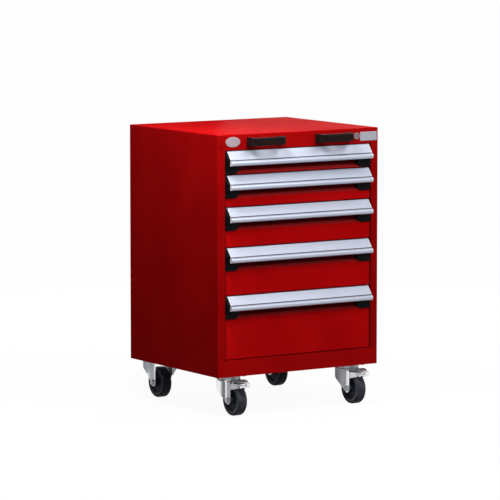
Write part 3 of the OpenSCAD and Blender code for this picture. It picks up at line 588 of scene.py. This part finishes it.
def dress_all():
    finishes = [
        (RED, SHEET_EDGE, ["left_side_panel", "right_side_panel", "back_panel", "top_panel"]),
        (LIT_RAIL_RED, SHEET_EDGE, ["base_pan"]),
        (LIT_FRONT_RED, THIN_EDGE, [d + "_front" for d in DRAWERS]),
        (GREY, THIN_EDGE, [d + "_tray" for d in DRAWERS]),
        (CAPS, MOULDED_EDGE, [d + "_end_caps" for d in DRAWERS]),
        (GRIPS, GRIP_EDGE, ["left_pull_handle", "right_pull_handle"]),
        (ZINC, THIN_EDGE, ["slide_uprights", "cabinet_rails"]),
        (ZINC, THIN_EDGE, [d + "_carriages" for d in DRAWERS]),
        (ZINC, SHEET_EDGE, ["lock_cam", "lock_bar"]),
        (LOCK, TURNED_EDGE, ["lock_cylinder", "lock_plug"]),
        (ZINC, PRESSED_EDGE, ["king_pins", "rear_axles", "front_left_axle", "front_right_axle",
                              "front_caster_plates"]),
        (REAR_FORK_ZINC, PRESSED_EDGE, ["rear_left_fork", "rear_right_fork"]),
        (LEFT_FORK_ZINC, PRESSED_EDGE, ["front_left_fork"]),
        (RIGHT_FORK_ZINC, PRESSED_EDGE, ["front_right_fork"]),
        (PEDAL_ZINC, PRESSED_EDGE, ["front_left_brake_pedal", "front_right_brake_pedal"]),
        (RUBBER, TURNED_EDGE, [w + "_tyre" for w in WHEELS]),
    ]
    for material, edge, nodes in finishes:
        for node in nodes:
            dressed(node, material, edge)


def dress_handles():
    """Each handle has its own finish, because the groove lies at its own height."""
    for drawer in DRAWERS:
        node = drawer + "_handle"
        dressed(node, anodised_aluminium(node), MOULDED_EDGE)


def dress_hubs():
    """Each wheel's body has its own finish, because the painted highlight runs round its own axle.
    """
    for wheel in WHEELS:
        node = wheel + "_hub"
        low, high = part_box(node)
        material = wheel_nylon(node + "_nylon", (low + high) / 2, (high.z - low.z) / 2)
        dressed(node, material, MOULDED_EDGE)


# Fasteners, set out by a Geometry Nodes tree: heights of heads, nuts and free ends, and all sizes

ROUND_SIDES = 40
BOLT_HEAD = 0.00528
BOLT_WASHER = 0.0013
BOLT_NUT = 0.0063
BOLT_END = 0.0042
SCREW_HEAD = 0.0025
SCREW_WASHER = 0.0004
BOLT_SIZES = {
    "Head Radius": 0.0075, "Head Height": 0.004, "Head Sides": 6, "Top Radius": 0.0062,
    "Washer Radius": 0.0085, "Washer Height": BOLT_WASHER, "Socket Radius": 0.004,
    "Socket Depth": 0.0006, "Socket Sides": 24, "Shank Radius": 0.004, "Shank Length": 0.016}
NUT_SIZES = {"Head Height": BOLT_NUT - BOLT_WASHER, "Shank Length": 0.002}
SCREW_SIZES = {
    "Head Radius": 0.0046, "Head Height": SCREW_HEAD - SCREW_WASHER, "Head Sides": ROUND_SIDES,
    "Top Radius": 0.0038, "Washer Radius": 0.0045, "Washer Height": SCREW_WASHER,
    "Socket Radius": 0.0023, "Socket Depth": 0.0016, "Socket Sides": 6, "Shank Radius": 0.0025,
    "Shank Length": 0.036}


def fastener_tree():
    """A bolt on every point, its head along +Z: bevelled head with a socket, washer and shank."""
    tree = bpy.data.node_groups.new("fasteners", "GeometryNodeTree")
    nodes = Nodes(tree)
    new_socket = tree.interface.new_socket
    new_socket("Points", in_out="INPUT", socket_type="NodeSocketGeometry")
    for name, size in BOLT_SIZES.items():
        kind = "NodeSocketInt" if isinstance(size, int) else "NodeSocketFloat"
        new_socket(name, in_out="INPUT", socket_type=kind).default_value = size
    new_socket("Finish", in_out="INPUT", socket_type="NodeSocketMaterial")
    new_socket("Fasteners", in_out="OUTPUT", socket_type="NodeSocketGeometry")
    group = tree.nodes.new("NodeGroupInput")
    given = {socket.name: Wire(nodes, socket) for socket in group.outputs if socket.name}

    def cone(sides, low_radius, high_radius, height, z):
        shape = nodes.add("GeometryNodeMeshCone", {}, {
            "Vertices": sides, "Radius Bottom": low_radius, "Radius Top": high_radius,
            "Depth": height})
        place = nodes.add("ShaderNodeCombineXYZ", {}, {"Z": z})
        return nodes.add("GeometryNodeTransform", {}, {"Geometry": shape, "Translation": place})

    def rod(sides, radius, height, z):
        return cone(sides, radius, radius, height, z)

    washer, head, depth = given["Washer Height"], given["Head Height"], given["Socket Depth"]
    radius, top, length = given["Head Radius"], given["Top Radius"], given["Shank Length"]
    prism = rod(given["Head Sides"], radius, head, washer)
    bevel = cone(ROUND_SIDES, radius + 2 * (radius - top), top, head, washer)
    block = nodes.add("GeometryNodeMeshBoolean", {"operation": "INTERSECT"},
                      {"Mesh 2": [prism, bevel]})
    socket = rod(given["Socket Sides"], given["Socket Radius"], 2 * depth, washer + head - depth)
    shaped = nodes.add("GeometryNodeMeshBoolean", {"operation": "DIFFERENCE"},
                       {"Mesh 1": block, "Mesh 2": [socket]})
    disc = rod(ROUND_SIDES, given["Washer Radius"], washer, 0.0)
    shank = rod(ROUND_SIDES, given["Shank Radius"], length, 0.0 - length)
    whole = nodes.add("GeometryNodeJoinGeometry", {}, {"Geometry": [shaped, disc, shank]})
    set_out = nodes.add("GeometryNodeInstanceOnPoints", {},
                        {"Points": given["Points"], "Instance": whole})
    real = nodes.add("GeometryNodeRealizeInstances", {}, {"Geometry": set_out})
    finished = nodes.add("GeometryNodeSetMaterial", {},
                         {"Geometry": real, "Material": given["Finish"]})
    nodes.add("NodeGroupOutput", {}, {0: finished})
    return tree


FASTENERS = fastener_tree()


def solid_boxes(node):
    """The lowest corner, the highest corner and the middle of each separate solid of a CAD node."""
    bm = bmesh.new()
    bm.from_mesh(frame["nodes"][node].data)
    bmesh.ops.remove_doubles(bm, verts=bm.verts, dist=WELD)
    boxes, waiting = [], set(bm.verts)
    while waiting:
        solid, edge = set(), {waiting.pop()}
        while edge:
            solid |= edge
            edge = {e.other_vert(v) for v in edge for e in v.link_edges} - solid
        waiting -= solid
        low, high = (Vector([pick(v.co[axis] for v in solid) for axis in range(3)])
                     for pick in (min, max))
        boxes.append((low, high, (low + high) / 2))
    bm.free()
    return sorted(boxes, key=lambda box: tuple(round(c, 4) for c in box[0]))


def fasteners(name, points, outward, finish, sizes):
    """One mesh of fasteners at points on their bearing faces, with their heads outward."""
    turn = Vector((0.0, 0.0, 1.0)).rotation_difference(Vector(outward)).to_matrix()
    mesh = bpy.data.meshes.new(name + "_points")
    mesh.from_pydata([turn.inverted() @ p for p in points], [], [])
    rough = new_object(name + "_rough", mesh)
    modifier = rough.modifiers.new("fasteners", "NODES")
    modifier.node_group = FASTENERS
    inputs = {item.name: item.identifier for item in FASTENERS.interface.items_tree
              if item.in_out == "INPUT"}
    modifier[inputs["Finish"]] = finish
    for size, value in sizes.items():
        modifier[inputs[size]] = value
    made = evaluated_mesh(rough)
    made.transform(turn.to_4x4())
    for face in made.polygons:
        face.use_smooth = True
    made.set_sharp_from_angle(angle=SHARP)
    return new_piece(name, made, finish, "housing", "zinc")


def add_fasteners():
    bolts = solid_boxes("caster_bolts")
    low, high, _ = bolts[0]
    shank = {"Shank Length": high.z - low.z - BOLT_HEAD}
    seats = [Vector((mid.x, mid.y, low.z + BOLT_HEAD)) for low, _, mid in bolts]
    tops = [Vector((mid.x, mid.y, high.z - BOLT_END - BOLT_NUT)) for _, high, mid in bolts]
    bolt_set = fasteners("caster_bolts_set", seats, (0, 0, -1), ZINC, shank)
    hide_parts("caster_bolts")
    fasteners("caster_nuts_set", tops, (0, 0, 1), ZINC, NUT_SIZES)
    screws = solid_boxes("pull_handle_screws")
    faces = [Vector(((low.x + high.x) / 2, low.y + SCREW_HEAD, (low.z + high.z) / 2))
             for low, high, _ in screws]
    screw_set = fasteners("pull_screws_set", faces, (0, -1, 0), BLACK_OXIDE, SCREW_SIZES)
    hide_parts("pull_handle_screws")


# Bare plates on the header: sizes and places along X and Z

PLATE_THICK = 0.0012
PLATE_BEVEL_SEGMENTS = 3
BADGE_SIZE = (0.054, 0.032)
BADGE_AT = (-0.249, 0.8684)
LABEL_SIZE = (0.0645, 0.0285)
LABEL_AT = (0.2668, 0.8652)
LABEL_CORNER = 0.002


def oval(width, height, points=64):
    turn = [2 * math.pi * n / points for n in range(points)]
    return [(width / 2 * math.cos(a), height / 2 * math.sin(a)) for a in turn]


def round_corners(width, height, radius, points=6):
    outline = []
    for n, (sx, sz) in enumerate(((1, 1), (-1, 1), (-1, -1), (1, -1))):
        for k in range(points + 1):
            a = math.pi / 2 * (n + k / points)
            outline.append((sx * (width / 2 - radius) + radius * math.cos(a),
                            sz * (height / 2 - radius) + radius * math.sin(a)))
    return outline


def header_plate(name, outline, at, material):
    """A thin plate on the header's face, with a rounded front edge."""
    face_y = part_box("top_panel")[0].y
    bm = bmesh.new()
    back = [bm.verts.new((at[0] + x, face_y, at[1] + z)) for x, z in outline]
    bottom = bm.faces.new(back)
    raised = bmesh.ops.extrude_face_region(bm, geom=[bottom])["geom"]
    front = [v for v in raised if isinstance(v, bmesh.types.BMVert)]
    bmesh.ops.translate(bm, verts=front, vec=(0.0, -PLATE_THICK, 0.0))
    bmesh.ops.recalc_face_normals(bm, faces=bm.faces)
    rim = [e for e in bm.edges if all(v in front for v in e.verts)]
    bmesh.ops.bevel(bm, geom=rim, offset=PLATE_THICK / 2, segments=PLATE_BEVEL_SEGMENTS,
                    profile=0.5, affect="EDGES")
    mesh = bpy.data.meshes.new(name)
    bm.to_mesh(mesh)
    bm.free()
    new_piece(name, mesh, material, "housing", "aluminium")


# Studio

def add_camera():
    az, el = CAMERA_AZIMUTH, CAMERA_ELEVATION
    back = Vector((math.sin(az) * math.cos(el), -math.cos(az) * math.cos(el), math.sin(el)))
    right = Vector((math.cos(az), math.sin(az), 0.0))
    up = back.cross(right)
    camera = new_object("camera", bpy.data.cameras.new("camera"))
    camera.data.lens = CAMERA_LENS
    camera.data.clip_end = CAMERA_CLIP_END
    turn = Matrix((right, up, back)).transposed().to_4x4()
    camera.matrix_world = Matrix.Translation(CAMERA_TARGET + CAMERA_DISTANCE * back) @ turn
    bpy.context.scene.camera = camera


def shown(nodes):
    """1 for what the camera sees, straight or in a reflection, 0 for what lights the object."""
    rays = [nodes.add("ShaderNodeLightPath", output=name)
            for name in ("Is Camera Ray", "Is Glossy Ray", "Is Transmission Ray")]
    return rays[0].math("MAXIMUM", rays[0], rays[1].math("MAXIMUM", rays[1], rays[2]))


SKY_STRENGTH = 0.15


def add_world():
    """White to the camera, and a weak even light on the object."""
    world = bpy.data.worlds.new("studio")
    world.use_nodes = True
    nodes = Nodes(world.node_tree)
    seen = shown(nodes)
    sky = nodes.add("ShaderNodeBackground", {},
                    {"Color": WHITE, "Strength": seen + SKY_STRENGTH * (1 - seen)})
    nodes.add("ShaderNodeOutputWorld", {}, {"Surface": sky})
    bpy.context.scene.world = world


# Floor: its share of glow near the object and away from it, and where that changes; the lower glow
# near the object paints a shadow round it
FLOOR_HALF = 60.0
FLOOR_BOUNCE = (0.08, 0.08, 0.08, 1.0)
FLOOR_SEEN = (0.9, 0.9, 0.9, 1.0)
FLOOR_GLOW = (0.95, 0.988)
PAINTED_SHADOW_REACH = (0.4, 1.6)


def add_floor():
    """A pale floor: white to the camera with a faint shadow and a painted shadow that greys it near
    the object, and a quiet bounce on the object.
    """
    material, nodes = new_finish("pale_floor")
    away = nodes.vector("LENGTH", nodes.place(), output="Value")
    # Painted shadow: less glow near the object
    white = FLOOR_GLOW[0] + (FLOOR_GLOW[1] - FLOOR_GLOW[0]) * away.between(*PAINTED_SHADOW_REACH)
    bounce = nodes.add("ShaderNodeBsdfDiffuse", {}, {"Color": FLOOR_BOUNCE})
    lit = nodes.add("ShaderNodeBsdfDiffuse", {}, {"Color": FLOOR_SEEN})
    glow = nodes.add("ShaderNodeEmission", {}, {"Color": WHITE, "Strength": 1.0})
    pale = nodes.add("ShaderNodeMixShader", {}, {0: white, 1: lit, 2: glow})
    both = nodes.add("ShaderNodeMixShader", {}, {0: shown(nodes), 1: bounce, 2: pale})
    nodes.add("ShaderNodeOutputMaterial", {}, {"Surface": both})
    signs = ((-1, -1), (1, -1), (1, 1), (-1, 1))
    mesh = bpy.data.meshes.new("floor")
    mesh.from_pydata([(x * FLOOR_HALF, y * FLOOR_HALF, 0.0) for x, y in signs], [], [(0, 1, 2, 3)])
    mesh.materials.append(material)
    new_object("floor", mesh)


# Lamps: name, place, aim, size and power
LAMPS = [
    ("high", (0.24, -2.42, 3.27), (0.0, -0.1, 0.7), 1.6, 36.0),
    ("front", (0.45, -2.1, 1.9), (0.0, -0.1, 0.6), 1.2, 13.5),
    ("brow", (-0.2, -1.0, 1.35), (0.0, -0.23, 0.7), 0.5, 0.9),
    ("canopy", (-0.74, -0.47, 1.95), (-0.37, -0.24, 0.3), 0.4, 22.8),
    ("overhead", (0.1, 0.1, 2.5), (0.1, 0.1, 0.0), 1.0, 4.4),
    ("rear", (2.0, 2.1, 1.25), (0.0, 0.0, 0.5), 1.4, 58.0),
]


def add_softbox(name, place, aim, size, power):
    lamp = bpy.data.lights.new(name, "AREA")
    lamp.energy = power
    lamp.size = size
    softbox = new_object(name, lamp)
    softbox.location = place
    softbox.rotation_euler = (Vector(aim) - Vector(place)).to_track_quat("-Z", "Y").to_euler()


dress_all()
dress_handles()
dress_hubs()
add_fasteners()
header_plate("badge", oval(*BADGE_SIZE), BADGE_AT, BADGE)
header_plate("label", round_corners(*LABEL_SIZE, LABEL_CORNER), LABEL_AT, LABEL)
add_camera()
add_world()
add_floor()
for lamp in LAMPS:
    add_softbox(*lamp)
bpy.context.scene.view_settings.view_transform = "Standard"
